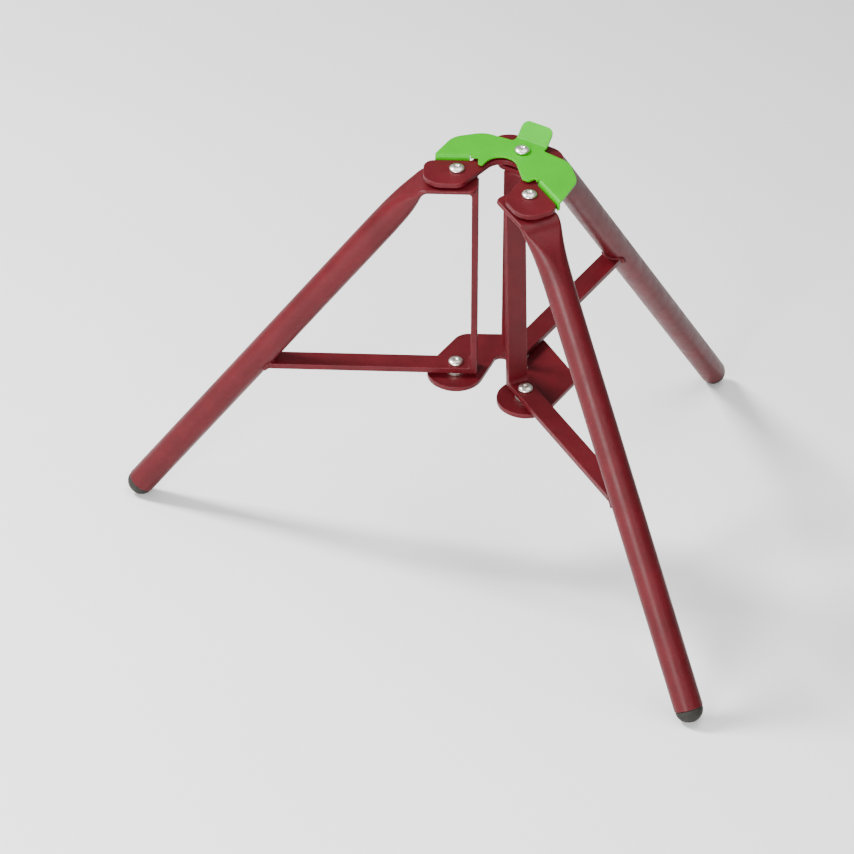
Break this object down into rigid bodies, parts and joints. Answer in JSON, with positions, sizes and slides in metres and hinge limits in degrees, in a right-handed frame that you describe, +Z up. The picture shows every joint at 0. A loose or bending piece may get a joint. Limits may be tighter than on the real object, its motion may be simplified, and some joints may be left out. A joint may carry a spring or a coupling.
{
  "type": "folding tripod stand",
  "caption": "Folding steel tripod stand: braced tube legs pivot between two flat plates, a green sprung latch plate holds them open, and the back leg is longer.",
  "frame": {"origin": "on the floor, under the middle of the whole stand's outline", "axes": "+Z up; +Y from between the front legs towards the back leg; +X to the right leg"},
  "size_m": [0.6362, 0.6468, 0.4498],
  "materials": {
    "maroon_coat": "satin powder coat over steel, fine texture",
    "green_coat": "bright satin powder coat over sheet steel",
    "zinc": "pale zinc plating",
    "dark_rubber": "dark grey moulded plug, satin"
  },
  "bodies": {
    "head": {"upper_plate": "maroon_coat", "lower_plate": "maroon_coat", "latch_spring_washer": "zinc", "leg_tube_back": "maroon_coat", "leg_bar_back": "maroon_coat", "weld_bead_back": "maroon_coat", "foot_plug_back": "dark_rubber", "upper_rivet_left": "zinc", "lower_rivet_left": "zinc", "upper_washer_left": "zinc", "lower_spacer_left": "zinc", "upper_rivet_right": "zinc", "lower_rivet_right": "zinc", "upper_washer_right": "zinc", "lower_spacer_right": "zinc", "upper_rivet_back": "zinc", "lower_rivet_back": "zinc", "upper_washer_back": "zinc", "lower_spacer_back": "zinc"},
    "left_leg": {"leg_tube_left": "maroon_coat", "leg_bar_left": "maroon_coat", "weld_bead_left": "maroon_coat", "foot_plug_left": "dark_rubber"},
    "right_leg": {"leg_tube_right": "maroon_coat", "leg_bar_right": "maroon_coat", "weld_bead_right": "maroon_coat", "foot_plug_right": "dark_rubber"},
    "latch": {"latch_plate": "green_coat"}
  },
  "joints": [
    {"name": "left_leg_fold", "type": "hinge", "parent": "head", "child": "left_leg", "pos_m": [-0.03845, -0.2474, 0.41575], "axis": [0, 0.2182, -0.9759], "range_deg": [0, 120]},
    {"name": "right_leg_fold", "type": "hinge", "parent": "head", "child": "right_leg", "pos_m": [0.03845, -0.2474, 0.41575], "axis": [0, -0.2182, 0.9759], "range_deg": [0, 120]},
    {"name": "latch_tip", "type": "hinge", "parent": "head", "child": "latch", "pos_m": [0, -0.1985, 0.42986], "axis": [-1, 0, 0], "range_deg": [0, 6], "stiffness_Nm_per_rad": 2}
  ]
}
